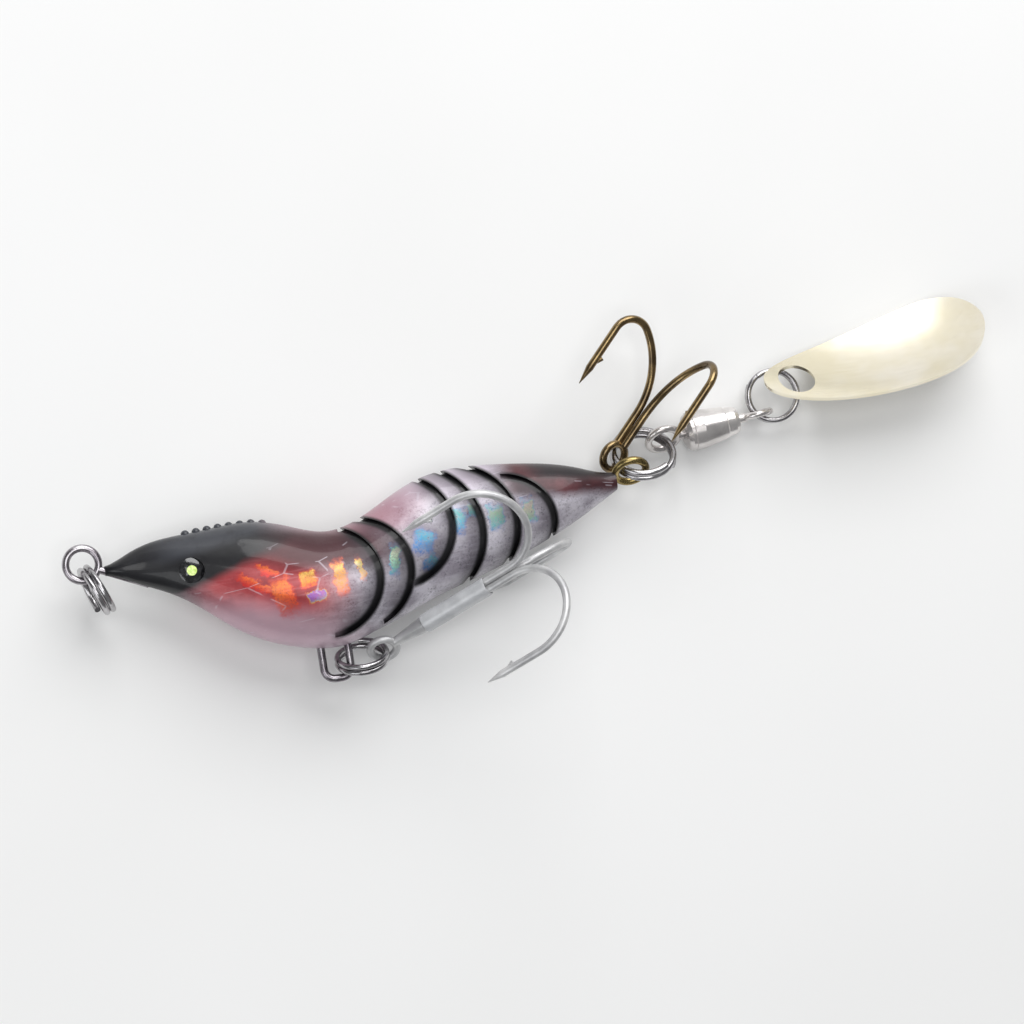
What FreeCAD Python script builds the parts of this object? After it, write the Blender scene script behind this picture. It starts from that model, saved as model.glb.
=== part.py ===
import FreeCAD, Part
import math
import os
import re
import Sketcher
from FreeCAD import Placement, Rotation, Vector

# Shrimp-shaped jig with a tail spinner, lying on its right flank.
# X runs from nose to tail, Y from belly to back, Z up from the table. Lengths in mm, angles in degrees.

SIZES = {
    # the frame's origin, measured from the drawing's own zero
    "origin_x": 2.9, "origin_y": 0.7,
    # body: overall sizes
    "nose_x": -39.2, "body_length": 49.6, "body_half_width": 4.6, "groove_depth": 0.35, "groove_width": 0.5,
    # wires cast into the body
    "nose_wire": 0.36, "nose_loop": 1.55, "nose_loop_x": -41.2, "nose_loop_y": 1.5, "nose_stem": 5.0,
    "belly_wire": 0.375, "belly_leg_x": -17.6, "belly_leg_gap": 2.6, "belly_bar_y": -12.9,
    "belly_corner": 1.0, "belly_leg": 4.0,
    "tail_wire": 0.375, "tail_loop": 1.5, "tail_loop_x": 12.0, "tail_loop_y": 2.1, "tail_stem": 6.0,
    # painted eyes
    "eye_x": -31.36, "eye_y": -0.66, "eye_ring": 1.2, "eye_pupil": 0.48, "eye_seat": 1.5, "eye_dome": 3.0,
    "eye_bulge": 0.08,
    # rostrum teeth
    "tooth": 0.42, "tooth_pitch": 1.05, "tooth_first_x": -31.2, "tooth_seat": 0.1,
    # split rings: coil radius, half the wire's width and half its height
    "nose_ring": 2.3, "nose_ring_wire": 0.3,
    "belly_ring": 2.35, "belly_ring_wire": 0.28,
    "tail_ring": 2.9, "tail_ring_wire": 0.32,
    "blade_ring": 2.4, "blade_ring_wire": 0.26,
    "ring_turns": 1.93, "coil_gap": 0.03, "link_gap": 0.28,
    "tail_slack": 0.18, "double_slack": 0.53, "treble_slack": 0.6, "swivel_slack": 0.75,
    # belly treble
    "treble_wire": 0.37, "treble_eye": 1.25, "treble_neck": 0.4, "treble_neck_end": 4.8, "treble_bundle": 1.18,
    "treble_straight": 15.0, "treble_bend": 4.45, "treble_leg": 4.2, "treble_point": 1.7,
    "sleeve_wall": 0.12, "sleeve_length": 7.4, "sleeve_fit": 0.02, "shank_gap": 0.04,
    # rear double hook
    "double_wire": 0.38, "double_eye": 1.3, "double_neck_end": 3.4, "double_straight": 4.6,
    "double_bend": 8.2, "double_bend_angle": 60.0, "double_tip_bend": 1.9, "double_leg": 4.6, "double_point": 1.8,
    "double_bundle": 1.45, "barb": 0.26,
    # swivel
    "barrel_length": 5.6, "barrel_front": 1.9, "barrel_rear": 1.45, "barrel_wall": 0.7, "barrel_cavity": 1.22,
    "band_x": 0.55, "band_width": 0.35, "band_depth": 0.1, "cap_x": 4.2, "cap_line": 0.12,
    "swivel_neck": 0.45, "swivel_fit": 0.05, "swivel_head": 1.1, "swivel_head_length": 0.5,
    "ball": 0.29, "ball_pitch": 0.82, "ball_count": 6, "ball_gap": 0.02,
    "front_eye": 1.5, "front_eye_wire": 0.36, "front_eye_gap": 0.2,
    "rear_eye": 1.2, "rear_eye_wire": 0.34, "rear_eye_gap": 0.45,
    # blade
    "blade_length": 22.8, "blade_width": 9.3, "blade_thick": 0.4, "blade_cup": 34.0,
    "blade_hole": 1.8, "blade_hole_x": 3.3, "blade_nose": 0.9, "blade_widest": 0.72,
}

# body stations: place along the body (0 nose, 1 tail), back, belly, share of the half width
STATIONS = (
    (0.000, 1.00, 0.10, 0.095),
    (0.052, 1.96, -0.98, 0.26),
    (0.105, 2.65, -2.20, 0.38),
    (0.165, 2.85, -4.10, 0.565),
    (0.226, 3.02, -6.60, 0.74),
    (0.286, 3.00, -8.40, 0.89),
    (0.357, 2.05, -9.60, 0.985),
    (0.427, 1.00, -9.95, 1.0),
    (0.488, 1.57, -9.15, 0.98),
    (0.548, 3.00, -8.15, 0.945),
    (0.615, 4.46, -6.90, 0.89),
    (0.704, 5.00, -5.60, 0.825),
    (0.782, 4.70, -4.40, 0.72),
    (0.859, 4.15, -2.95, 0.60),
    (0.930, 3.20, -1.35, 0.42),
    (1.000, 2.26, 0.50, 0.17),
)
FIRST_CORE = 4
LAST_CORE = 14

# shell grooves: place of the bulge, radius of the arc, lean of the arc
GROOVES = (
    (-14.2, -4.7, 5.2, -12.0),
    (-11.1, -2.6, 5.3, 9.5),
    (-6.6, -1.0, 5.3, -12.0),
    (-3.65, -0.5, 7.5, 4.0),
    (-0.2, -0.3, 6.5, 6.0),
    (3.5, -0.6, 5.0, 10.0),
)
GROOVE_SPREAD = 150.0
TOOTH_COUNT = 8
SEAM_TURN = 37.0

X = Vector(1, 0, 0)
Y = Vector(0, 1, 0)
Z = Vector(0, 0, 1)

doc = FreeCAD.newDocument("tail_spinner_lure")
sheet = doc.addObject("Spreadsheet::Sheet", "Sizes")


def fill_sheet():
    row = 1
    for name, value in SIZES.items():
        sheet.set("A%d" % row, name)
        sheet.set("B%d" % row, str(value))
        sheet.setAlias("B%d" % row, name)
        row += 1
    doc.recompute()


def val(name):
    return float(SIZES[name])


def cell(text):
    """An expression in which every bare name is looked up in the sheet."""
    return re.sub(r"\b([a-z][a-z0-9_]*)\b", r"Sizes.\1", str(text))


def bind(thing, **rules):
    for prop, text in rules.items():
        thing.setExpression(prop, cell(text))
    return thing


def at(x, y, z):
    return Vector(x - val("origin_x"), y - val("origin_y"), z)


def mid(x, y):
    """A point in the body's plane of symmetry."""
    return at(x, y, val("body_half_width"))


def unit(v):
    w = Vector(v)
    w.normalize()
    return w


def across(v, axis):
    """The part of v square to the axis, at unit length."""
    a = unit(axis)
    return unit(Vector(v) - a * a.dot(Vector(v)))


def turn(v, axis, angle):
    return Rotation(unit(axis), angle).multVec(Vector(v))


def frame(origin, along_x, along_z):
    """A placement with local X exactly along one direction and local Z near another."""
    x = unit(along_x)
    z = across(along_z, x)
    return Placement(origin, Rotation(x, z.cross(x), z, "XZY"))


def made(kind, name, place=None, **rules):
    thing = doc.addObject(kind, name)
    thing.Label = name
    bind(thing, **rules)
    if place is not None:
        thing.Placement = place
    return thing


def cylinder(name, start, direction, radius, length):
    """A round bar from a point along a direction."""
    side = Z if abs(unit(direction).dot(Z)) < 0.9 else X
    turned = Rotation(across(side, direction), unit(direction).cross(across(side, direction)),
                      unit(direction), "ZXY")
    return made("Part::Cylinder", name, Placement(start, turned), Radius=radius, Height=length)


def cone(name, start, direction, radius1, radius2, length):
    side = Z if abs(unit(direction).dot(Z)) < 0.9 else X
    turned = Rotation(across(side, direction), unit(direction).cross(across(side, direction)),
                      unit(direction), "ZXY")
    return made("Part::Cone", name, Placement(start, turned), Radius1=radius1, Radius2=radius2, Height=length)


def torus(name, centre, begin, normal, ring, wire, sweep="360"):
    """Bent round bar: begins at direction `begin` from the centre and turns about the normal."""
    return made("Part::Torus", name, frame(centre, begin, normal), Radius1=ring, Radius2=wire, Angle3=sweep)


def fuse(name, things):
    joined = doc.addObject("Part::MultiFuse", name)
    joined.Label = name
    joined.Shapes = things
    return joined


def cut(name, base, tool):
    out = doc.addObject("Part::Cut", name)
    out.Label = name
    out.Base = base
    out.Tool = tool
    return out


def common(name, things):
    out = doc.addObject("Part::MultiCommon", name)
    out.Label = name
    out.Shapes = things
    return out


def group(name, things):
    out = doc.addObject("Part::Compound", name)
    out.Label = name
    out.Links = things
    return out


# ---------------------------------------------------------------- body

def station_expression(index, inset):
    """Half height and half width of a station, inset by a wall."""
    share, back, belly, width = STATIONS[index]
    tall = "%g - %s" % ((back - belly) / 2.0, inset)
    wide = "%g * body_half_width - %s" % (width, inset)
    return tall, wide


def body_loft(name, first, last, inset):
    rings = []
    for index in range(first, last + 1):
        share, back, belly, width = STATIONS[index]
        tall, wide = station_expression(index, inset)
        ring = made("Part::Ellipse", "%s_station_%d" % (name, index), MajorRadius=tall, MinorRadius=wide)
        centre = mid(val("nose_x") + share * val("body_length"), (back + belly) / 2.0)
        ring.Placement = Placement(centre, Rotation(-Y, -Z, X, "ZXY"))
        rings.append(ring)
    loft = doc.addObject("Part::Loft", name)
    loft.Label = name
    loft.Sections = rings
    loft.Solid = True
    loft.Ruled = False
    return loft


def groove(index):
    """A curved sheet standing square to the plane of symmetry."""
    x, y, radius, lean = GROOVES[index]
    heading = turn(X, Z, lean)
    centre = mid(x, y) - heading * radius - Z * 10.0
    begin = turn(heading, Z, -GROOVE_SPREAD / 2.0)
    place = frame(centre, begin, Z)
    outer = made("Part::Cylinder", "groove_outer_%d" % index, place,
                 Radius="%g + groove_width / 2" % radius, Height="20", Angle="%g" % GROOVE_SPREAD)
    inner = made("Part::Cylinder", "groove_inner_%d" % index, place,
                 Radius="%g - groove_width / 2" % radius, Height="20", Angle="%g" % GROOVE_SPREAD)
    return cut("groove_sheet_%d" % index, outer, inner)


def rostrum_teeth():
    teeth = []
    for index in range(TOOTH_COUNT):
        x = val("tooth_first_x") + index * val("tooth_pitch")
        top = 2.86 + 0.14 * math.sin(math.pi * index / (TOOTH_COUNT - 1.0))
        if index == TOOTH_COUNT - 1:
            top = 2.72
        spot = mid(x, top - val("tooth_seat"))
        teeth.append(made("Part::Sphere", "tooth_%d" % index, Placement(spot, Rotation(X, 90)), Radius="tooth"))
    return teeth


def cheek_surface():
    """Height of the cheek above the plane of symmetry at the eye."""
    return 0.555 * val("body_half_width")


def eye_parts(side, sign):
    """Dark surround and pupil of one eye, both cut from the same dome."""
    up = Z * sign
    base = mid(val("eye_x"), val("eye_y")) + up * val("eye_seat")
    top = mid(val("eye_x"), val("eye_y")) + up * (cheek_surface() + val("eye_bulge") - val("eye_dome"))
    dome = made("Part::Sphere", side + "_dome", Placement(top, Rotation()), Radius="eye_dome")
    plug = cylinder(side + "_plug", base, up, "eye_ring", "2")
    core = cylinder(side + "_core", base, up, "eye_pupil", "2")
    disc = common(side + "_disc", [dome, plug])
    pupil = common(side + "_pupil", [dome, core])
    return plug, cut(side + "_eye_ring", disc, core), pupil


def body_casting(wires, plugs):
    outer = body_loft("body_outer", 0, len(STATIONS) - 1, "0")
    core = body_loft("body_core", FIRST_CORE, LAST_CORE, "groove_depth")
    sheets = fuse("groove_sheets", [groove(index) for index in range(len(GROOVES))])
    cuts = cut("groove_cuts", sheets, core)
    toothed = fuse("body_toothed", [outer] + rostrum_teeth())
    grooved = cut("body_grooved", toothed, cuts)
    return cut("body_casting", grooved, fuse("body_pockets", wires + plugs))


# ---------------------------------------------------------------- wires cast into the body

def nose_wire():
    centre = mid(val("nose_loop_x"), val("nose_loop_y"))
    root = mid(val("nose_x"), 0.55)
    heading = unit(root - centre)
    loop = torus("nose_loop_bend", centre, X, Z, "nose_loop", "nose_wire")
    stem = cylinder("nose_stem_bar", centre + heading * val("nose_loop"), heading, "nose_wire", "nose_stem")
    return fuse("nose_eye_wire", [loop, stem])


def belly_wire():
    right = mid(val("belly_leg_x"), val("belly_bar_y"))
    left = right - X * val("belly_leg_gap")
    corner = val("belly_corner")
    parts = [
        cylinder("belly_right_leg", right + Y * corner, Y, "belly_wire", "belly_leg"),
        cylinder("belly_left_leg", left + Y * corner, Y, "belly_wire", "belly_leg"),
        cylinder("belly_bar", left + X * corner, X, "belly_wire", "belly_leg_gap - 2 * belly_corner"),
        torus("belly_right_bend", right + Y * corner - X * corner, -Y, Z, "belly_corner", "belly_wire", "90"),
        torus("belly_left_bend", left + Y * corner + X * corner, -X, Z, "belly_corner", "belly_wire", "90"),
    ]
    return fuse("belly_eye_wire", parts)


TAIL_LEAN = Vector(0, 0.643, 0.766)


def tail_wire():
    centre = mid(val("tail_loop_x"), val("tail_loop_y"))
    heading = unit(mid(4.0, 1.2) - centre)
    loop = torus("tail_loop_bend", centre, X, X.cross(TAIL_LEAN), "tail_loop", "tail_wire")
    stem = cylinder("tail_stem_bar", centre + heading * val("tail_loop"), heading, "tail_wire", "tail_stem")
    return fuse("tail_eye_wire", [loop, stem])


# ---------------------------------------------------------------- split rings

class Ring:
    """A split ring: two turns of wire that climb along the normal from azimuth `start`.

    The middle of the two strands lies in the plane through `centre` at azimuth `held`."""

    def __init__(self, name, centre, normal, zero, start, held):
        self.name = name
        self.start = start
        self.normal = unit(normal)
        self.zero = across(zero, self.normal)
        self.side = self.normal.cross(self.zero)
        self.wire = name + "_wire"
        self.centre = centre - self.normal * self.climb(held)

    def climb(self, azimuth):
        """Height of the middle of the two strands above the ring's mid plane."""
        turns = ((azimuth - self.start) % 360.0) / 360.0
        return (2 * val(self.wire) + val("coil_gap")) * (turns + 0.5 - val("ring_turns") / 2.0)

    def spoke(self, azimuth):
        a = math.radians(azimuth)
        return self.zero * math.cos(a) + self.side * math.sin(a)

    def point(self, azimuth):
        return self.centre + self.spoke(azimuth) * val(self.name) + self.normal * self.climb(azimuth)

    def tangent(self, azimuth):
        a = math.radians(azimuth)
        return self.side * math.cos(a) - self.zero * math.sin(a)

    def build(self, label):
        pitch = "(2 * %s + coil_gap)" % self.wire
        tall = (2 * val(self.wire) + val("coil_gap")) * val("ring_turns")
        begin = self.spoke(self.start)
        place = frame(self.centre - self.normal * tall / 2.0, begin, self.normal)
        coil = made("Part::Helix", label + "_coil", place, Radius=self.name, Pitch=pitch,
                    Height=pitch + " * ring_turns")
        section = made("Part::Circle", label + "_section", Radius=self.wire)
        rise = math.atan2(tall / val("ring_turns"), 2 * math.pi * val(self.name))
        ahead = place.Rotation.multVec(Vector(0, math.cos(rise), math.sin(rise)))
        seam = Rotation(ahead, SEAM_TURN)
        turned = seam.multiply(Rotation(begin, ahead.cross(begin), ahead, "ZXY"))
        section.Placement = Placement(place.Base + begin * val(self.name), turned)
        sweep = doc.addObject("Part::Sweep", label)
        sweep.Label = label
        sweep.Sections = [section]
        sweep.Spine = (coil, [])
        sweep.Solid = True
        sweep.Frenet = True
        return sweep


def hung(point, direction, ring, ring_wire, held_wire, slack="link_gap"):
    """Centre of a ring or eye that hangs from a wire at a point, pulled along a direction."""
    return point + unit(direction) * (val(ring) - val(ring_wire) - val(held_wire) - val(slack))


# ---------------------------------------------------------------- hooks

class Hook:
    """Places one bent, pointed wire round a shank that starts at an eye and runs along `shank`."""

    def __init__(self, name, eye, shank, roll_zero, keys):
        self.name = name
        self.eye = eye
        self.shank = unit(shank)
        self.zero = across(roll_zero, self.shank)
        self.keys = keys

    def wires(self, tag, roll):
        k = self.keys
        out = turn(self.zero, self.shank, roll)
        normal = self.shank.cross(out)
        wire = k["wire"]
        offset = val(wire) * val(k["bundle"])
        begin = self.eye + self.shank * k["begin"] + out * offset
        angle = k["angle"]
        straight = self.eye + self.shank * val(k["straight"]) + out * offset
        big, small = val(k["bend"]), val(k["tip_bend"])
        a = math.radians(angle)
        centre1 = straight + out * big
        joint = centre1 + (self.shank * math.sin(a) - out * math.cos(a)) * big
        radial = (self.shank * math.sin(a) - out * math.cos(a))
        centre2 = joint - radial * small
        leg = centre2 + out * small
        point = leg - self.shank * val(k["leg"])
        barb = point - out * (val(wire) * 0.2) + self.shank * 0.2
        name = self.name + "_" + tag
        return [
            cylinder(name + "_shank", begin, self.shank, wire, "%s - %g" % (k["straight"], k["begin"])),
            torus(name + "_bend", centre1, -out, normal, k["bend"], wire, k["sweep"]),
            torus(name + "_tip_bend", centre2, radial, normal, k["tip_bend"], wire, "180 - " + k["sweep"]),
            cylinder(name + "_leg", leg, -self.shank, wire, k["leg"]),
            cone(name + "_point", point, -self.shank, wire, "0.03", k["point"]),
            cone(name + "_barb", barb, self.shank * 0.94 - out * 0.34, "0.04", "barb", "1.3"),
        ]

    def eye_and_neck(self, normal):
        k = self.keys
        loop = torus(self.name + "_loop", self.eye, self.shank, normal, k["eye"], k["wire"])
        neck = cone(self.name + "_neck", self.eye + self.shank * (val(k["eye"]) - 0.1), self.shank,
                    k["neck"], k["neck_top"], "%s - %s + 0.1" % (k["neck_end"], k["eye"]))
        return [loop, neck]


fill_sheet()

# wires in the body
nose_eye_wire = nose_wire()
belly_eye_wire = belly_wire()
tail_eye_wire = tail_wire()
left_plug, left_eye_ring, left_pupil = eye_parts("left", 1)
right_plug, right_eye_ring, right_pupil = eye_parts("right", -1)
body = body_casting([nose_eye_wire, belly_eye_wire, tail_eye_wire], [left_plug, right_plug])

# nose ring: hangs from the lower side of the nose loop
NOSE_LINK_ANGLE = -70.0
nose_out = turn(X, Z, NOSE_LINK_ANGLE)
nose_axis = turn(nose_out, Z, 90.0)
nose_link = mid(val("nose_loop_x"), val("nose_loop_y")) + nose_out * val("nose_loop")
nose_pull = turn(nose_out, nose_axis, 28.0)
nose_ring = Ring("nose_ring", hung(nose_link, nose_pull, "nose_ring", "nose_ring_wire", "nose_wire", "link_gap"),
                 nose_axis, nose_pull, 13.0, 180.0)
nose_split_ring = nose_ring.build("nose_split_ring")

# belly ring: round the right leg of the belly wire
belly_link = mid(val("belly_leg_x"), -11.55)
BELLY_LEAN = 62.0
belly_normal = turn(Z, X, -BELLY_LEAN)
belly_ring = Ring("belly_ring", mid(-16.45, -11.5), belly_normal, X, 112.0, 180.0)
belly_split_ring = belly_ring.build("belly_split_ring")

# belly treble
TREBLE_AZIMUTH = 18.0
treble_link = belly_ring.point(TREBLE_AZIMUTH)
treble_tangent = belly_ring.tangent(TREBLE_AZIMUTH)
treble_shank = unit(Vector(0.81, 0.362, 0.465))
treble_eye = hung(treble_link, treble_shank, "treble_eye", "treble_wire", "belly_ring_wire", "treble_slack")
TREBLE = {"wire": "treble_wire", "bundle": "treble_bundle", "straight": "treble_straight", "bend": "treble_bend",
          "tip_bend": "treble_bend", "sweep": "90", "angle": 90.0, "leg": "treble_leg", "point": "treble_point",
          "eye": "treble_eye", "neck": "treble_neck", "neck_top": "treble_wire * (treble_bundle + 0.98)",
          "neck_end": "treble_neck_end", "begin": val("treble_neck_end") - 0.3}
treble_zero = Z.cross(treble_shank)
pair_hook = Hook("belly_hook", treble_eye, treble_shank, treble_zero, TREBLE)
SINGLE = dict(TREBLE, begin=val("treble_neck_end") + val("shank_gap"))
single_hook = Hook("belly_single", treble_eye, treble_shank, treble_zero, SINGLE)
belly_hook_pair = fuse("belly_hook_pair", pair_hook.eye_and_neck(treble_tangent)
                       + pair_hook.wires("upper", 21.0) + pair_hook.wires("outer", 141.0))
belly_hook_single = fuse("belly_hook_single", single_hook.wires("under", 261.0))
sleeve_start = treble_eye + treble_shank * (val("treble_neck_end") + val("shank_gap"))
sleeve_bore = "treble_wire * (treble_bundle + 1) + sleeve_fit"
sleeve_skin = cylinder("sleeve_skin", sleeve_start, treble_shank, sleeve_bore + " + sleeve_wall", "sleeve_length")
sleeve_hole = cylinder("sleeve_hole", sleeve_start, treble_shank, sleeve_bore, "sleeve_length")
belly_hook_sleeve = cut("belly_hook_sleeve", sleeve_skin, sleeve_hole)

# tail ring: round the far end of the tail loop
tail_link = mid(val("tail_loop_x"), val("tail_loop_y")) + X * val("tail_loop")
tail_across = Vector(0, 0.766, -0.643)
tail_pull = X * 0.13 + tail_across * 0.99
tail_centre = hung(tail_link, tail_pull, "tail_ring", "tail_ring_wire", "tail_wire", "tail_slack")
tail_ring = Ring("tail_ring", tail_centre, TAIL_LEAN, X, 330.0, 262.5)
tail_split_ring = tail_ring.build("tail_split_ring")

# rear double hook
DOUBLE_AZIMUTH = 177.0
double_link = tail_ring.point(DOUBLE_AZIMUTH)
double_tangent = tail_ring.tangent(DOUBLE_AZIMUTH)
double_shank = unit(Vector(0.68, 0.73, 0.05))
double_eye = hung(double_link, double_shank, "double_eye", "double_wire", "tail_ring_wire", "double_slack")
DOUBLE = {"wire": "double_wire", "bundle": "double_bundle", "straight": "double_straight", "bend": "double_bend",
          "tip_bend": "double_tip_bend", "sweep": "double_bend_angle", "angle": val("double_bend_angle"),
          "leg": "double_leg", "point": "double_point", "eye": "double_eye", "neck": "double_wire",
          "neck_top": "double_wire * 1.6", "neck_end": "double_neck_end", "begin": val("double_eye")}
rear_hook = Hook("rear_hook", double_eye, double_shank, Z.cross(double_shank), DOUBLE)
rear_double_hook = fuse("rear_double_hook", rear_hook.eye_and_neck(double_tangent)
                        + rear_hook.wires("left", 20.0) + rear_hook.wires("upper", 112.0))

# ---------------------------------------------------------------- swivel


def turned_body(name, place, points):
    """A body of revolution about its own X axis from a closed outline of (along, radius) expressions."""
    piece = doc.addObject("PartDesign::Body", name)
    piece.Label = name
    sketch = piece.newObject("Sketcher::SketchObject", name + "_outline")
    sketch.AttachmentSupport = (piece.Origin.OriginFeatures[3], [""])
    sketch.MapMode = "FlatFace"
    count = len(points)
    spots = [Vector(evaluate(a), evaluate(r), 0) for a, r in points]
    for index in range(count):
        sketch.addGeometry(Part.LineSegment(spots[index], spots[(index + 1) % count]), False)
    for index in range(count):
        sketch.addConstraint(Sketcher.Constraint("Coincident", index, 2, (index + 1) % count, 1))
    for index, (along, radius) in enumerate(points):
        hold(sketch, index, "DistanceX", along, spots[index].x, -2)
        hold(sketch, index, "DistanceY", radius, spots[index].y, -1)
    turned = piece.newObject("PartDesign::Revolution", name + "_turned")
    turned.Profile = sketch
    turned.ReferenceAxis = (sketch, ["H_Axis"])
    turned.Angle = 360.0
    piece.Placement = place
    return piece


def hold(sketch, line, kind, text, value, axis):
    """Fix one coordinate of a line's first end by an expression, or put it on the axis when it is zero."""
    if text == "0":
        sketch.addConstraint(Sketcher.Constraint("PointOnObject", line, 1, axis))
        return
    number = sketch.addConstraint(Sketcher.Constraint(kind, -1, 1, line, 1, value))
    sketch.setExpression("Constraints[%d]" % number, cell(text))


def evaluate(text):
    """Value of a sum of products of sheet names, read back from the sheet."""
    sheet.set("D1", "=" + re.sub(r"\b([a-z][a-z0-9_]*)\b", r"\1", str(text)))
    sheet.recompute()
    return float(sheet.get("D1"))


SWIVEL_AZIMUTH = 35.0
swivel_link = tail_ring.point(SWIVEL_AZIMUTH)
swivel_tangent = tail_ring.tangent(SWIVEL_AZIMUTH)
swivel_axis = unit(Vector(0.995, 0.099, 0.005))
front_centre = hung(swivel_link, swivel_axis, "front_eye", "front_eye_wire", "tail_ring_wire", "swivel_slack")
front_normal = across(swivel_tangent, swivel_axis)
barrel_start = front_centre + swivel_axis * (val("front_eye") + val("front_eye_wire") + val("front_eye_gap"))
barrel_place = frame(barrel_start, swivel_axis, Z)

swivel_barrel = turned_body("swivel_barrel", barrel_place, (
    ("0", "swivel_neck + swivel_fit"),
    ("0", "barrel_front - 0.75"),
    ("0.2", "barrel_front - 0.3"),
    ("band_x", "barrel_front"),
    ("band_x + 0.05", "barrel_front - band_depth"),
    ("band_x + band_width", "barrel_front - band_depth"),
    ("band_x + band_width + 0.05", "barrel_front"),
    ("band_x + 1.4", "barrel_front"),
    ("cap_x", "barrel_rear + 0.12"),
    ("cap_x", "barrel_cavity"),
    ("barrel_wall", "barrel_cavity"),
    ("barrel_wall", "swivel_neck + swivel_fit"),
))
swivel_end_cap = turned_body("swivel_end_cap", barrel_place, (
    ("cap_x", "barrel_cavity"),
    ("cap_x", "barrel_rear + 0.12"),
    ("cap_x + cap_line", "barrel_rear"),
    ("barrel_length - 0.5", "barrel_rear - 0.08"),
    ("barrel_length - 0.15", "barrel_rear - 0.25"),
    ("barrel_length", "barrel_rear - 0.6"),
    ("barrel_length", "swivel_neck + swivel_fit"),
    ("barrel_length - barrel_wall", "swivel_neck + swivel_fit"),
    ("barrel_length - barrel_wall", "barrel_cavity"),
))


def swivel_eye(label, centre, normal, heading, ring, wire, gap):
    """Loop, neck through the end wall, and the head that the balls bear on."""
    root = centre + heading * val(ring)
    loop = torus(label + "_loop", centre, heading, normal, ring, wire)
    reach = "%s + %s + barrel_wall + 2 * ball + ball_gap + swivel_head_length" % (wire, gap)
    neck = cylinder(label + "_neck", root, heading, "swivel_neck", reach)
    inside = root + heading * (val(wire) + val(gap) + val("barrel_wall") + 2 * val("ball") + val("ball_gap"))
    head = cylinder(label + "_head", inside, heading, "swivel_head", "swivel_head_length")
    return fuse(label, [loop, neck, head])


def ball_race(label, wall, heading):
    centre = wall + heading * (val("ball") + val("ball_gap") / 2.0)
    spoke = across(Z, heading)
    balls = []
    count = int(val("ball_count"))
    for index in range(count):
        spot = centre + turn(spoke, heading, 360.0 * index / count) * val("ball_pitch")
        balls.append(made("Part::Sphere", "%s_%d" % (label, index), Placement(spot, Rotation()), Radius="ball"))
    return group(label, balls)


swivel_front_eye = swivel_eye("swivel_front_eye", front_centre, front_normal, swivel_axis,
                              "front_eye", "front_eye_wire", "front_eye_gap")
barrel_end = barrel_start + swivel_axis * val("barrel_length")
rear_centre = barrel_end + swivel_axis * (val("rear_eye") + val("rear_eye_wire") + val("rear_eye_gap"))
rear_normal = across(Y, swivel_axis)
swivel_rear_eye = swivel_eye("swivel_rear_eye", rear_centre, rear_normal, -swivel_axis,
                             "rear_eye", "rear_eye_wire", "rear_eye_gap")
swivel_front_balls = ball_race("swivel_front_balls", barrel_start + swivel_axis * val("barrel_wall"), swivel_axis)
swivel_rear_balls = ball_race("swivel_rear_balls", barrel_end - swivel_axis * val("barrel_wall"), -swivel_axis)

# ---------------------------------------------------------------- blade ring and blade

blade_ring_link = rear_centre + swivel_axis * val("rear_eye")
blade_ring_pull = Vector(0.35, 0.94, 0.0)
blade_ring = Ring("blade_ring", hung(blade_ring_link, blade_ring_pull, "blade_ring", "blade_ring_wire",
                                     "rear_eye_wire", "link_gap"), Z, X, 147.0, 249.6)
blade_split_ring = blade_ring.build("blade_split_ring")

BLADE_AZIMUTH = 20.0
blade_link = blade_ring.point(BLADE_AZIMUTH)
blade_tangent = blade_ring.tangent(BLADE_AZIMUTH)
BLADE_ROLL = 40.0
BLADE_RISE = -1.5
BLADE_HEADING = 8.6
blade_along = turn(turn(X, Y, -BLADE_RISE), Z, BLADE_HEADING)
blade_normal = across(turn(Z, X, -BLADE_ROLL), blade_along)
blade_side = blade_normal.cross(blade_along)
BLADE_HOLE_Z = 3.9
blade_hole = at(29.7, 8.2, BLADE_HOLE_Z)


def blade_outline(length, width, nose, widest):
    """Half outline of the blade as (share of length, share of half width)."""
    return ((0.0, 0.0), (0.015, 0.22), (0.07, 0.42), (0.18, 0.62), (0.38, 0.83), (0.58, 0.965), (0.72, 1.0),
            (0.84, 0.93), (0.93, 0.70), (0.98, 0.38), (1.0, 0.0))


def make_blade():
    """Flat outline pushed up through a thin bowl, with the hole for the ring."""
    half = [(share, wide) for share, wide in blade_outline(0, 0, 0, 0)]
    length, width = val("blade_length"), val("blade_width")
    loop = half + [(share, -wide) for share, wide in half[-2:0:-1]]
    points = [Vector(length * (share - 0.5), width / 2.0 * wide, 0) for share, wide in loop]
    return points


def blade_sag(x, y=0.0):
    cup = val("blade_cup")
    return cup - math.sqrt(cup * cup - x * x - y * y)


hole_x = val("blade_hole_x") - val("blade_length") / 2.0
blade_origin = blade_hole - blade_along * hole_x - blade_normal * blade_sag(hole_x)
blade_place = Placement(blade_origin, Rotation(blade_along, blade_side, blade_normal, "XZY"))


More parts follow.
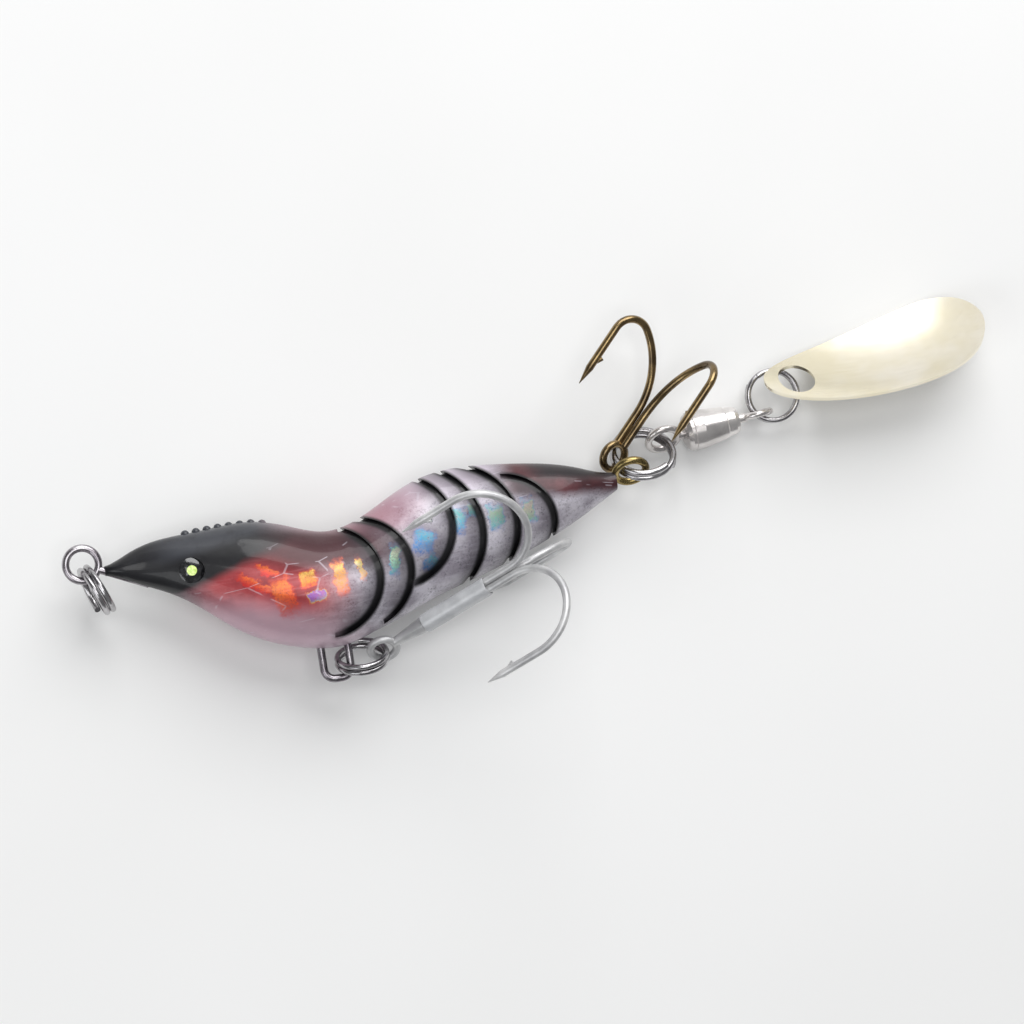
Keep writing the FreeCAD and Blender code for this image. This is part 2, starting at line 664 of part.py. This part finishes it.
def spinner_blade_node():
    plate = doc.addObject("PartDesign::Body", "blade_plate")
    sketch = plate.newObject("Sketcher::SketchObject", "blade_outline")
    sketch.AttachmentSupport = (plate.Origin.OriginFeatures[3], [""])
    sketch.MapMode = "FlatFace"
    curve = Part.BSplineCurve()
    points = make_blade()
    curve.interpolate(Points=points, PeriodicFlag=True)
    sketch.addGeometry(curve, False)
    pad = plate.newObject("PartDesign::Pad", "blade_pad")
    pad.Profile = sketch
    pad.Midplane = True
    bind(pad, Length="blade_width")
    plate.Placement = blade_place
    middle = blade_origin + blade_normal * val("blade_cup")
    bowl = made("Part::Sphere", "blade_bowl", Placement(middle, Rotation()), Radius="blade_cup + blade_thick / 2")
    hollow = made("Part::Sphere", "blade_hollow", Placement(middle, Rotation()),
                  Radius="blade_cup - blade_thick / 2")
    shell = cut("blade_shell", bowl, hollow)
    sheet_metal = common("blade_sheet", [plate, shell])
    drill = cylinder("blade_drill", blade_hole - blade_normal * 4, blade_normal, "blade_hole", "8")
    return cut("spinner_blade", sheet_metal, drill)


spinner_blade = spinner_blade_node()

NODES = (
    body, nose_eye_wire, belly_eye_wire, tail_eye_wire, left_eye_ring, right_eye_ring, left_pupil, right_pupil,
    nose_split_ring, belly_split_ring, belly_hook_pair, belly_hook_single, belly_hook_sleeve, tail_split_ring,
    rear_double_hook, swivel_front_eye, swivel_barrel, swivel_end_cap, swivel_rear_eye, swivel_front_balls,
    swivel_rear_balls, blade_split_ring, spinner_blade,
)


def write_parts():
    doc.recompute()
    for thing in doc.Objects:
        bad = [word for word in thing.State if word in ("Invalid", "Error")]
        if bad:
            raise RuntimeError("%s is %s" % (thing.Name, bad))
    os.makedirs("parts", exist_ok=True)
    for node in NODES:
        shape = node.Shape
        if shape.isNull() or not shape.isValid():
            raise RuntimeError("%s has no valid shape" % node.Name)
        shape.exportStep("parts/%s.step" % node.Label)
        spots = shape.tessellate(0.05)[0]
        low = [round(min(s[i] for s in spots), 2) for i in range(3)]
        high = [round(max(s[i] for s in spots), 2) for i in range(3)]
        print(node.Label, len(shape.Solids), low, high)


write_parts()
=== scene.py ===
import math

import bpy
from mathutils import Matrix, Vector

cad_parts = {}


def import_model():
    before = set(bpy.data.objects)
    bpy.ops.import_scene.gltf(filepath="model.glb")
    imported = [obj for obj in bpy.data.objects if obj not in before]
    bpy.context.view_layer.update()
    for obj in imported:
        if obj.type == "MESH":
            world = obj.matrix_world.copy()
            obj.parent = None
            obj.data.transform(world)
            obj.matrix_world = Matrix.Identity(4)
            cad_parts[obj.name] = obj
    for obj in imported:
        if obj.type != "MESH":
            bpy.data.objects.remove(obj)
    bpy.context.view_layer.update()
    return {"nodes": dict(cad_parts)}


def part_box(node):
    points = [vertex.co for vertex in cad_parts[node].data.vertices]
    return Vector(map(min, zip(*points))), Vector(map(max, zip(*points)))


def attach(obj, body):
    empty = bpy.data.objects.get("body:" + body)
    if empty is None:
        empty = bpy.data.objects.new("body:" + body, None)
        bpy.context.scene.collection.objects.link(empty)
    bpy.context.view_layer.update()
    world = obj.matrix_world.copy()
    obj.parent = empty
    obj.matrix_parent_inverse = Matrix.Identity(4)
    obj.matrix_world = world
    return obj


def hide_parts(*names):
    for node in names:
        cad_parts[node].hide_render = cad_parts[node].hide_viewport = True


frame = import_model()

MM = 0.001
# the body's own zero, in the row frame
ZERO = Vector((-2.9, -0.7, 4.6)) * MM


# ------------------------------------------------------------------ shader maths

class Field:
    """A number that varies over a surface."""

    def __init__(self, paint, socket):
        self.paint = paint
        self.socket = socket

    def op(self, kind, *others):
        node = self.paint.node("ShaderNodeMath", operation=kind)
        for slot, value in enumerate((self,) + others):
            self.paint.plug(value, node.inputs[slot])
        return Field(self.paint, node.outputs[0])

    def __add__(self, other):
        return self.op("ADD", other)

    __radd__ = __add__

    def __sub__(self, other):
        return self.op("SUBTRACT", other)

    def __rsub__(self, other):
        return self.op("MULTIPLY", -1.0).op("ADD", other)

    def __mul__(self, other):
        return self.op("MULTIPLY", other)

    __rmul__ = __mul__

    def __truediv__(self, other):
        return self.op("DIVIDE", other)

    def __abs__(self):
        return self.op("ABSOLUTE")

    def root(self):
        return self.op("SQRT")

    def either(self, other):
        return self.op("MAXIMUM", other)

    def step(self, low, high, out_low=0.0, out_high=1.0):
        """Eased ramp from out_low at `low` to out_high at `high`."""
        node = self.paint.node("ShaderNodeMapRange", interpolation_type="SMOOTHSTEP")
        self.paint.plug(self, node.inputs[0])
        for slot, value in enumerate((low, high, out_low, out_high)):
            node.inputs[slot + 1].default_value = value
        return Field(self.paint, node.outputs[0])


class Paint:
    """One material, and the nodes it is made of."""

    def __init__(self, name):
        self.material = bpy.data.materials.new(name)
        self.material.use_nodes = True
        self.tree = self.material.node_tree
        self.tree.nodes.clear()
        self.shader = self.node("ShaderNodeBsdfPrincipled")
        output = self.node("ShaderNodeOutputMaterial")
        self.tree.links.new(self.shader.outputs[0], output.inputs[0])
        self.place = self.node("ShaderNodeTexCoord").outputs["Object"]
        split = self.node("ShaderNodeSeparateXYZ")
        self.tree.links.new(self.place, split.inputs[0])
        # millimetres along and across the lure, from the body's own zero
        self.x = Field(self, split.outputs[0]) / MM - ZERO.x / MM
        self.y = Field(self, split.outputs[1]) / MM - ZERO.y / MM

    def node(self, kind, **settings):
        made = self.tree.nodes.new(kind)
        for key, value in settings.items():
            setattr(made, key, value)
        return made

    def plug(self, value, socket):
        if isinstance(value, Field):
            self.tree.links.new(value.socket, socket)
        elif isinstance(value, (int, float)):
            socket.default_value = float(value)
        elif isinstance(value, (tuple, list)):
            socket.default_value = tuple(value) + (1.0,) * (4 - len(value))
        else:
            self.tree.links.new(value, socket)

    def noise(self, size, detail=3.0, rough=0.55, stretch=None):
        """Cloudy noise with features about `size` mm across."""
        made = self.node("ShaderNodeTexNoise")
        made.inputs["Scale"].default_value = 1.0
        made.inputs["Detail"].default_value = detail
        made.inputs["Roughness"].default_value = rough
        self.tree.links.new(self.scaled(size, stretch), made.inputs["Vector"])
        return Field(self, made.outputs[0])

    def cell_edges(self, size, stretch=None):
        """Distance to the nearest edge between cells of about `size` mm."""
        made = self.node("ShaderNodeTexVoronoi", feature="DISTANCE_TO_EDGE")
        made.inputs["Scale"].default_value = 1.0
        self.tree.links.new(self.scaled(size, stretch), made.inputs["Vector"])
        return Field(self, made.outputs["Distance"])

    def scaled(self, size, stretch):
        """Object coordinates in units of `size` mm, turned and stretched if asked."""
        made = self.node("ShaderNodeMapping")
        self.tree.links.new(self.place, made.inputs["Vector"])
        turn, shape = stretch or (0.0, (1.0, 1.0, 1.0))
        made.inputs["Rotation"].default_value = (0.0, 0.0, math.radians(turn))
        made.inputs["Scale"].default_value = tuple(1000.0 / (size * s) for s in shape)
        return made.outputs[0]

    def mix(self, factor, first, second):
        made = self.node("ShaderNodeMix", data_type="RGBA", blend_type="MIX")
        self.plug(factor, made.inputs[0])
        self.plug(first, made.inputs[6])
        self.plug(second, made.inputs[7])
        return made.outputs[2]

    def ramp(self, value, stops):
        made = self.node("ShaderNodeValToRGB")
        line = made.color_ramp
        while len(line.elements) < len(stops):
            line.elements.new(0.5)
        for element, (spot, colour) in zip(line.elements, stops):
            element.position = spot
            element.color = tuple(colour) + (1.0,)
        self.plug(value, made.inputs[0])
        return made.outputs[0]

    def bump(self, height, distance, strength=1.0):
        made = self.node("ShaderNodeBump")
        made.inputs["Strength"].default_value = strength
        made.inputs["Distance"].default_value = distance * MM
        self.plug(height, made.inputs["Height"])
        self.tree.links.new(made.outputs[0], self.shader.inputs["Normal"])

    def set(self, **values):
        for key, value in values.items():
            self.plug(value, self.shader.inputs[key.replace("_", " ")])
        return self.material


# ------------------------------------------------------------------ materials

# shell grooves: bulge, radius and lean, as they are cut in the body
GROOVES = (
    (-14.2, -4.7, 5.2, -12.0),
    (-11.1, -2.6, 5.3, 9.5),
    (-6.6, -1.0, 5.3, -12.0),
    (-3.65, -0.5, 7.5, 4.0),
    (-0.2, -0.3, 6.5, 6.0),
    (3.5, -0.6, 5.0, 10.0),
)


def groove_painted_shade_fields(paint):
    """Painted shade of every groove: a dark line along it, and a soft painted shade on its nose side."""
    line = groove_painted_shade = None
    for x, y, radius, lean in GROOVES:
        angle = math.radians(lean)
        ahead = (math.cos(angle), math.sin(angle))
        dx = paint.x - (x - ahead[0] * radius)
        dy = paint.y - (y - ahead[1] * radius)
        out = (dx * dx + dy * dy).root() - radius
        facing = (dx * ahead[0] + dy * ahead[1]).step(0.12 * radius, 0.55 * radius)
        this_groove_painted_line = abs(out).step(0.62, 0.24) * facing
        this_groove_painted_shade = out.step(-2.4, 0.1) * out.step(0.5, 0.1) * facing
        line = this_groove_painted_line if line is None else line.either(this_groove_painted_line)
        groove_painted_shade = this_groove_painted_shade if groove_painted_shade is None else groove_painted_shade.either(this_groove_painted_shade)
    return line, groove_painted_shade


def blob(paint, x, y, wide, tall, soft=0.5, turn=0.0):
    """1 inside an ellipse on the flank, easing to 0 outside."""
    c, s = math.cos(math.radians(turn)), math.sin(math.radians(turn))
    dx = paint.x - x
    dy = paint.y - y
    along = (dx * c + dy * s) / wide
    over = (dy * c - dx * s) / tall
    return (along * along + over * over).root().step(1.0 + soft, 1.0 - soft)


# foil flashes: middle, half length, half height, lean, where its rainbow starts
WARM_FLASHES = (
    (-23.3, -4.4, 1.0, 1.9, 14.0, 0.06),
    (-25.8, -2.9, 1.7, 0.45, -34.0, 0.02),
    (-24.6, -1.8, 1.1, 0.4, -30.0, 0.02),
    (-20.9, -3.1, 0.8, 0.8, 8.0, 0.30),
    (-20.3, -4.9, 1.0, 0.6, 14.0, 0.84),
    (-17.9, -3.6, 0.65, 1.7, 6.0, 0.24),
    (-15.8, -3.1, 0.3, 1.2, 8.0, 0.36),
)
COLD_FLASHES = (
    (-12.5, -2.7, 0.5, 1.5, -8.0, 0.42),
    (-9.5, -1.5, 0.95, 1.3, -22.0, 0.08),
    (-9.0, -3.6, 0.7, 0.9, -40.0, 0.12),
    (-5.9, 0.0, 0.75, 1.3, -6.0, 0.20),
    (-4.3, 0.9, 0.4, 0.7, -4.0, 0.36),
    (-2.2, -0.3, 0.75, 1.2, 2.0, 0.36),
    (1.1, -0.1, 0.6, 1.2, 6.0, 0.52),
)


def flashes(paint, places, jitter):
    """Mask of the foil flashes, and the spot of each along its rainbow."""
    mask = hue = None
    for x, y, wide, tall, lean, start in places:
        c, s = math.cos(math.radians(lean)), math.sin(math.radians(lean))
        dx = paint.x - x
        dy = paint.y - y
        along = abs(dx * c + dy * s) + jitter * 0.5
        over = dy * c - dx * s
        inside_length = (along + jitter * 0.8).step(wide * 1.25, wide * 0.7)
        inside_height = (abs(over) + jitter * 1.6).step(tall * 1.25, tall * 0.5)
        here = inside_length * inside_height
        tone = here * (over * (0.16 / tall) + start + 0.16)
        mask = here if mask is None else mask.either(here)
        hue = tone if hue is None else hue.either(tone)
    return mask, hue


def body_paint():
    p = Paint("foiled_body")
    cloud = p.noise(3.0, 4.0)
    grain = p.noise(0.22, 3.0, 0.75)
    streak = p.noise(1.2, 3.0, 0.6, stretch=(28.0, (4.0, 0.35, 1.0)))
    rough_patch = p.noise(1.1, 4.0, 0.7)

    silver = p.mix(cloud.step(0.35, 0.7), (0.34, 0.31, 0.36), (0.66, 0.63, 0.69))
    silver = p.mix(streak.step(0.45, 0.75) * 0.5, silver, (0.66, 0.63, 0.72))
    speckle = grain.step(0.42, 0.72) * rough_patch.step(0.35, 0.65)
    silver = p.mix(speckle * 0.8, silver, (0.10, 0.092, 0.115))

    # pale pearly back from the waist to the tail
    lift = p.y - (p.x + 12.0) * 0.12
    pearl = lift.step(1.0, 3.2) * p.x.step(-20.0, -14.0) * p.x.step(2.0, -4.0)
    skin = p.mix(pearl * 0.85, silver, (0.62, 0.545, 0.63))

    # red throat and shoulder
    red_zone = blob(p, -25.2, -3.2, 7.4, 4.6, 0.45, -22.0)
    red = p.mix(cloud.step(0.3, 0.7), (0.24, 0.010, 0.014), (0.44, 0.045, 0.05))
    red = p.mix(streak.step(0.5, 0.8) * 0.5, red, (0.60, 0.16, 0.18))
    skin = p.mix(red_zone * 0.96, skin, red)
    chin = blob(p, -24.5, -7.6, 9.0, 2.2, 0.6, -18.0)
    skin = p.mix(chin * 0.8, skin, (0.62, 0.44, 0.52))
    blush = blob(p, -14.5, 1.6, 5.0, 2.4, 0.7, 18.0)
    skin = p.mix(blush * 0.7, skin, (0.34, 0.10, 0.14))
    # dark red paint along the shoulder, deepened into a painted reflection of dark surroundings
    shoulder_red_and_painted_dark_reflection = blob(p, -19.5, -0.3, 8.0, 2.2, 0.5, -10.0)
    skin = p.mix(shoulder_red_and_painted_dark_reflection * 0.95, skin, (0.045, 0.006, 0.009))
    # pale pink band along the crest is a painted highlight
    crest_painted_highlight = blob(p, -19.5, 2.7, 6.0, 1.3, 0.6, -12.0)
    skin = p.mix(crest_painted_highlight * 0.85, skin, (0.42, 0.23, 0.27))

    # crimson top of the tail
    tail = (p.y - 0.9 + (p.x - 4.0) * 0.10 + (cloud - 0.5) * 1.2).step(-0.5, 0.7) * p.x.step(-2.5, 0.8)
    crimson = p.mix(cloud.step(0.35, 0.65), (0.035, 0.003, 0.005), (0.085, 0.008, 0.012))
    skin = p.mix(tail * 0.96, skin, crimson)

    # black head: everything above a line that rises from the chin to the shoulder
    line = -2.6 + (p.x + 32.0) * 0.34
    head = (p.y - line + (cloud - 0.5) * 0.9).step(-0.7, 0.6) * p.x.step(-19.0, -25.5)
    nose = (p.x + (p.y + 3.0) * 0.3).step(-30.0, -34.0)
    ridge = (p.y - 2.3 + (p.x - 4.0) * 0.16).step(-0.1, 0.8) * p.x.step(0.0, 4.0)
    black = head.either(nose).either(ridge * 0.9)
    # grey band across the black head is a painted highlight
    head_painted_sheen = (p.y - 1.0 - (p.x + 30.0) * 0.16).step(-0.6, 0.6) * p.x.step(-36.0, -32.0)
    black_tone = p.mix(head_painted_sheen * 0.9, (0.006, 0.006, 0.008), (0.045, 0.048, 0.058))
    black_tone = p.mix(p.noise(1.5, 3.0).step(0.45, 0.7) * 0.5, black_tone, (0.012, 0.012, 0.016))
    skin = p.mix(black, skin, black_tone)

    # holographic foil that shows through in broken flashes
    jitter = p.noise(0.8, 3.0, 0.7) - 0.5
    warm_mask, warm_hue = flashes(p, WARM_FLASHES, jitter)
    cold_mask, cold_hue = flashes(p, COLD_FLASHES, jitter)
    warm = p.ramp(warm_hue + jitter * 0.16, (
        (0.0, (0.75, 0.03, 0.02)), (0.2, (0.95, 0.14, 0.03)), (0.42, (0.98, 0.42, 0.04)),
        (0.58, (0.92, 0.72, 0.16)), (0.74, (0.30, 0.62, 0.60)), (1.0, (0.22, 0.14, 0.58))))
    cold = p.ramp(cold_hue + jitter * 0.16, (
        (0.0, (0.06, 0.16, 0.68)), (0.22, (0.05, 0.38, 0.85)), (0.40, (0.12, 0.72, 0.78)),
        (0.56, (0.42, 0.80, 0.52)), (0.72, (0.85, 0.78, 0.55)), (1.0, (0.40, 0.24, 0.72))))
    sparkle = grain.step(0.3, 0.7)
    skin = p.mix(warm_mask * (sparkle * 0.40 + 0.32), skin, warm)
    skin = p.mix(cold_mask * (sparkle * 0.55 + 0.25), skin, cold)

    # short pale scratches in the foil
    vein = p.cell_edges(3.6, stretch=(32.0, (1.7, 0.7, 3.0))).step(0.022, 0.008)
    vein = vein * p.noise(1.8, 1.0).step(0.54, 0.60) * (1.0 - black)
    skin = p.mix(vein * 0.26, skin, (0.74, 0.70, 0.78))

    # painted shade: dark lines in the grooves and a soft shade beside them
    dark, groove_painted_shade = groove_painted_shade_fields(p)
    skin = p.mix(groove_painted_shade * 0.78, skin, (0.022, 0.018, 0.026))
    skin = p.mix(dark * 0.96, skin, (0.005, 0.005, 0.006))

    flash = warm_mask.either(cold_mask)
    rough = 0.32 + grain * 0.16 - black * 0.04 - flash * 0.1
    p.bump(grain * 0.5 + vein * 0.6, 0.015, 0.4)
    return p.set(Base_Color=skin, Roughness=rough, Metallic=0.28 + flash * 0.3 - black * 0.28,
                 Coat_Weight=0.30, Coat_Roughness=0.07, Specular_IOR_Level=0.35)


def metal(name, light, dark, rough, size=0.5, brushed=None, metallic=1.0, coat=0.0, grime=0.35):
    """Worn metal: two tones in soft clouds, fine grain, darker in patches."""
    p = Paint(name)
    cloud = p.noise(size * 4.0, 4.0)
    grain = p.noise(size * 0.25, 2.0, 0.7, stretch=brushed)
    tone = p.mix(cloud.step(0.3, 0.72), dark, light)
    spots = p.noise(size * 1.4, 5.0, 0.7).step(0.60, 0.78)
    tone = p.mix(spots * grime, tone, tuple(c * 0.35 for c in dark))
    p.bump(grain + cloud * 0.4, 0.012, 0.4)
    worn = grain * (rough * 0.6) + spots * 0.12 + rough * 0.7
    return p.set(Base_Color=tone, Roughness=worn, Metallic=metallic, Coat_Weight=coat, Coat_Roughness=0.12)


def blade_metal():
    p = Paint("gold_blade")
    cloud = p.noise(6.0, 3.0)
    fine = p.noise(0.22, 2.0, 0.6, stretch=(13.5, (14.0, 0.8, 1.0)))
    tone = p.mix(cloud.step(0.3, 0.75), (0.88, 0.81, 0.62), (0.93, 0.88, 0.77))
    tone = p.mix(fine.step(0.45, 0.8) * 0.18, tone, (0.70, 0.60, 0.38))
    p.bump(fine + cloud * 1.4, 0.008, 0.3)
    return p.set(Base_Color=tone, Roughness=0.13 + fine * 0.08 + cloud * 0.05, Metallic=1.0)


def sleeve_plastic():
    p = Paint("milky_sleeve")
    cloud = p.noise(2.0, 4.0)
    fine = p.noise(0.3, 3.0, 0.65, stretch=(24.0, (5.0, 0.6, 0.6)))
    tone = p.mix(cloud.step(0.3, 0.7), (0.58, 0.59, 0.61), (0.76, 0.77, 0.79))
    tone = p.mix(fine.step(0.55, 0.8) * 0.4, tone, (0.80, 0.81, 0.82))
    p.bump(fine + cloud * 0.5, 0.03, 0.5)
    return p.set(Base_Color=tone, Roughness=0.26 + fine * 0.15, Alpha=0.72, Metallic=0.1,
                 Coat_Weight=0.7, Coat_Roughness=0.1)


def eye_black():
    p = Paint("eye_black")
    fine = p.noise(0.3, 3.0)
    tone = p.mix(fine.step(0.4, 0.7), (0.004, 0.004, 0.005), (0.03, 0.03, 0.034))
    p.bump(fine, 0.006, 0.3)
    return p.set(Base_Color=tone, Roughness=0.10 + fine * 0.12, Coat_Weight=1.0, Coat_Roughness=0.04)


# yellow-green pupil paint; its emission is a painted glow
def eye_glow():
    p = Paint("eye_glow")
    fine = p.noise(0.25, 3.0)
    tone = p.mix(fine.step(0.35, 0.7), (0.42, 0.62, 0.10), (0.72, 0.86, 0.30))
    p.bump(fine, 0.008, 0.4)
    painted_glow = p.mix(fine.step(0.2, 0.8), (0.35, 0.45, 0.10), (0.55, 0.62, 0.25))
    return p.set(Base_Color=tone, Roughness=0.25 + fine * 0.2, Coat_Weight=0.8, Coat_Roughness=0.05,
                 Emission_Color=painted_glow, Emission_Strength=0.30)


STEEL = metal("nickel_ring", (0.62, 0.61, 0.62), (0.26, 0.25, 0.26), 0.20, 0.6)
WIRE = metal("cast_in_wire", (0.50, 0.48, 0.50), (0.14, 0.12, 0.14), 0.24, 0.6, grime=0.5)
BRASS = metal("tail_brass", (0.50, 0.38, 0.16), (0.16, 0.12, 0.05), 0.26, 0.5, grime=0.5)
TIN = metal("tinned_hook", (0.74, 0.74, 0.74), (0.46, 0.46, 0.47), 0.42, 0.7, metallic=0.55, grime=0.15)
BRONZE = metal("bronze_hook", (0.36, 0.25, 0.11), (0.10, 0.065, 0.03), 0.24, 0.6, coat=0.5, grime=0.3)
SWIVEL = metal("swivel_steel", (0.86, 0.83, 0.81), (0.58, 0.55, 0.54), 0.24, 0.8,
               brushed=(5.7, (8.0, 0.5, 0.5)), metallic=0.8, grime=0.12)
BALL = metal("bearing_ball", (0.85, 0.85, 0.86), (0.6, 0.6, 0.62), 0.08, 0.3, grime=0.1)
BODY = body_paint()
BLADE = blade_metal()
SLEEVE = sleeve_plastic()
EYE = eye_black()
PUPIL_PAINT_AND_PAINTED_GLOW = eye_glow()

NODE_MATERIALS = {
    "body_casting": BODY, "nose_eye_wire": WIRE, "belly_eye_wire": WIRE, "tail_eye_wire": BRASS,
    "left_eye_ring": EYE, "right_eye_ring": EYE, "left_pupil": PUPIL_PAINT_AND_PAINTED_GLOW, "right_pupil": PUPIL_PAINT_AND_PAINTED_GLOW,
    "nose_split_ring": STEEL, "belly_split_ring": STEEL, "belly_hook_pair": TIN, "belly_hook_single": TIN,
    "belly_hook_sleeve": SLEEVE, "tail_split_ring": STEEL, "rear_double_hook": BRONZE,
    "swivel_front_eye": SWIVEL, "swivel_barrel": SWIVEL, "swivel_end_cap": SWIVEL, "swivel_rear_eye": SWIVEL,
    "swivel_front_balls": BALL, "swivel_rear_balls": BALL, "blade_split_ring": STEEL, "spinner_blade": BLADE,
}

for name, node in frame["nodes"].items():
    node.data.materials.clear()
    node.data.materials.append(NODE_MATERIALS[name])


# ------------------------------------------------------------------ pieces modelled here

SLEEVE_AXIS = Vector((0.81, 0.362, 0.465)).normalized()
SLEEVE_LENGTH = 7.4 * MM
SLEEVE_WALL = 0.10 * MM
# how the shrunk tube swells and draws in: share of its length, share of its radius
SLEEVE_STATIONS = ((0.0, 0.955), (0.03, 0.995), (0.16, 0.985), (0.30, 0.998), (0.44, 0.972), (0.58, 0.992),
                   (0.72, 0.970), (0.86, 0.990), (0.97, 0.998), (1.0, 0.965))


def shrink_sleeve():
    """Clear tube shrunk over the three shanks, drawn out ring by ring from its mouth."""
    low, high = (Vector(corner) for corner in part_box("belly_hook_sleeve"))
    middle = (low + high) / 2.0
    spread = math.sqrt(1.0 - SLEEVE_AXIS.x ** 2)
    radius = (high.x - low.x - SLEEVE_LENGTH * SLEEVE_AXIS.x) / (2.0 * spread)
    start = middle - SLEEVE_AXIS * SLEEVE_LENGTH / 2.0

    bpy.ops.object.select_all(action="DESELECT")
    heading = SLEEVE_AXIS.to_track_quat("Z", "Y").to_euler()
    mouth = radius * SLEEVE_STATIONS[0][1]
    bpy.ops.mesh.primitive_circle_add(vertices=48, radius=mouth, fill_type="NOTHING",
                                      location=start, rotation=heading)
    tube = bpy.context.active_object
    tube.name = "shrink_sleeve"
    bpy.ops.object.mode_set(mode="EDIT")
    bpy.ops.mesh.select_all(action="SELECT")
    for (before, was), (share, size) in zip(SLEEVE_STATIONS, SLEEVE_STATIONS[1:]):
        climb = SLEEVE_AXIS * SLEEVE_LENGTH * (share - before)
        bpy.ops.mesh.extrude_region_move(TRANSFORM_OT_translate={"value": climb})
        centre = start + SLEEVE_AXIS * SLEEVE_LENGTH * share
        bpy.ops.transform.resize(value=(size / was,) * 3, center_override=centre)
    bpy.ops.mesh.select_all(action="SELECT")
    bpy.ops.mesh.remove_doubles(threshold=1e-7)
    bpy.ops.mesh.normals_make_consistent(inside=False)
    bpy.ops.object.mode_set(mode="OBJECT")
    bpy.ops.object.transform_apply(location=True, rotation=True, scale=True)

    wall = tube.modifiers.new("wall", "SOLIDIFY")
    wall.thickness = SLEEVE_WALL
    wall.offset = -1.0
    smooth = tube.modifiers.new("smooth", "SUBSURF")
    smooth.levels = smooth.render_levels = 2
    for name in ("wall", "smooth"):
        bpy.ops.object.modifier_apply(modifier=name)
    bpy.ops.object.shade_smooth()
    tube.data.materials.append(SLEEVE)
    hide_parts("belly_hook_sleeve")
    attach(tube, "belly_treble")


shrink_sleeve()


# ------------------------------------------------------------------ floor, light, camera

def floor():
    bpy.ops.mesh.primitive_plane_add(size=1.6, location=(0.0, 0.0, 0.0))
    sheet = bpy.context.active_object
    sheet.name = "floor"
    paint = Paint("pale_paper")
    tone = paint.mix(paint.noise(60.0, 2.0).step(0.3, 0.7), (0.815, 0.815, 0.808), (0.84, 0.84, 0.835))
    sheet.data.materials.append(paint.set(Base_Color=tone, Roughness=0.9, Specular_IOR_Level=0.1,
                                          Emission_Color=(1.0, 1.0, 0.995), Emission_Strength=0.05))


def softbox(name, spot, aim, size, power, colour=(1.0, 1.0, 1.0)):
    lamp = bpy.data.lights.new(name, "AREA")
    lamp.shape = "RECTANGLE"
    lamp.size, lamp.size_y = size
    lamp.energy = power
    lamp.color = colour
    holder = bpy.data.objects.new(name, lamp)
    bpy.context.collection.objects.link(holder)
    holder.location = spot
    holder.visible_camera = False
    holder.rotation_mode = "QUATERNION"
    holder.rotation_quaternion = (Vector(aim) - Vector(spot)).to_track_quat("-Z", "Y")


CAMERA_LEAN = 10.0
CAMERA_ROLL = 9.1
CAMERA_DISTANCE = 450.0 * MM
CAMERA_LENS = 166.1


def camera():
    """Looks down on the lure from just ahead of straight above."""
    lean, roll = math.radians(CAMERA_LEAN), math.radians(CAMERA_ROLL)
    back = Vector((-math.sin(lean), 0.0, math.cos(lean)))
    level = Vector((math.cos(lean), 0.0, math.sin(lean)))
    side = Vector((0.0, 1.0, 0.0))
    right = level * math.cos(roll) - side * math.sin(roll)
    up = level * math.sin(roll) + side * math.cos(roll)
    view = bpy.data.cameras.new("camera")
    view.lens = CAMERA_LENS
    view.sensor_width = 36.0
    view.clip_start, view.clip_end = 0.01, 10.0
    holder = bpy.data.objects.new("camera", view)
    bpy.context.collection.objects.link(holder)
    turned = Matrix((right, up, back)).transposed().to_4x4()
    holder.matrix_world = Matrix.Translation(ZERO + back * CAMERA_DISTANCE) @ turned
    bpy.context.scene.camera = holder


def world():
    sky = bpy.data.worlds.new("studio")
    sky.use_nodes = True
    sky.node_tree.nodes["Background"].inputs[0].default_value = (0.93, 0.94, 0.96, 1.0)
    sky.node_tree.nodes["Background"].inputs[1].default_value = 0.20
    bpy.context.scene.world = sky


bpy.context.scene.view_settings.view_transform = "Standard"
floor()
world()
softbox("key", (0.12, 0.34, 0.32), (0.0, 0.0, 0.0), (0.42, 0.34), 1.9)
softbox("far_window", (0.10, 0.50, 0.16), (0.02, 0.0, 0.0), (0.90, 0.30), 0.58)
softbox("fill", (-0.30, -0.16, 0.26), (0.0, 0.0, 0.0), (0.24, 0.24), 0.35, (0.96, 0.98, 1.0))
softbox("top", (-0.05, 0.0, 0.60), (0.0, 0.0, 0.0), (0.34, 0.34), 1.0)
camera()
